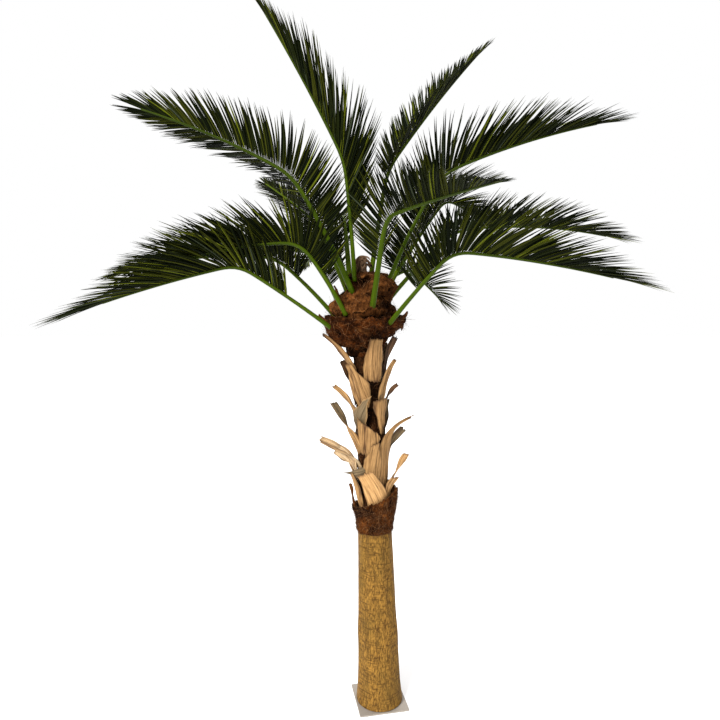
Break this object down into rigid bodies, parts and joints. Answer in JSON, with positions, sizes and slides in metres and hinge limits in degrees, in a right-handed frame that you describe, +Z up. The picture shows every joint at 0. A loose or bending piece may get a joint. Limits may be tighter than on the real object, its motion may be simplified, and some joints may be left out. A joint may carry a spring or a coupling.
{
  "type": "artificial palm tree",
  "caption": "Artificial palm with a moulded leaning trunk, dried boots, a coir head and arching feather fronds, on a square floor plate.",
  "frame": {"origin": "centre of the floor plate's flat underside", "axes": "+Z up the trunk, -Y to the front, +X to the right seen from the front"},
  "size_m": [3.0454, 2.4185, 3.7336],
  "materials": {
    "plate_paint": "matte paint",
    "moulded_trunk": "moulded bark grain",
    "coir_dark": "coir matting",
    "coir_brown": "coir matting",
    "dried_boot": "dry fibrous",
    "frond_green": "satin plastic"
  },
  "bodies": {
    "root": {"base_plate": "plate_paint", "trunk_shell": "moulded_trunk", "trunk_core": "coir_dark", "coir_cuff": "coir_dark", "coir_head_lower": "coir_brown", "coir_head_upper": "coir_brown", "boot_01": "dried_boot", "boot_02": "dried_boot", "boot_03": "dried_boot", "boot_04": "dried_boot", "boot_05": "dried_boot", "boot_06": "dried_boot", "boot_07": "dried_boot", "boot_08": "dried_boot", "boot_09": "dried_boot", "boot_10": "dried_boot", "boot_11": "dried_boot", "boot_12": "dried_boot", "boot_13": "dried_boot", "boot_14": "dried_boot", "boot_15": "dried_boot", "boot_16": "dried_boot", "boot_17": "dried_boot", "boot_18": "dried_boot", "boot_19": "dried_boot", "boot_20": "dried_boot", "boot_21": "dried_boot", "boot_22": "dried_boot", "boot_23": "dried_boot", "boot_24": "dried_boot", "boot_25": "dried_boot", "boot_26": "dried_boot", "boot_27": "dried_boot", "boot_28": "dried_boot", "boot_29": "dried_boot", "frond_01": "frond_green", "frond_02": "frond_green", "frond_03": "frond_green", "frond_04": "frond_green", "frond_05": "frond_green", "frond_06": "frond_green", "frond_07": "frond_green", "frond_08": "frond_green", "frond_09": "frond_green", "frond_10": "frond_green", "frond_11": "frond_green", "frond_12": "frond_green", "frond_13": "frond_green", "frond_14": "frond_green", "frond_15": "frond_green", "frond_16": "frond_green"}
  },
  "joints": []
}
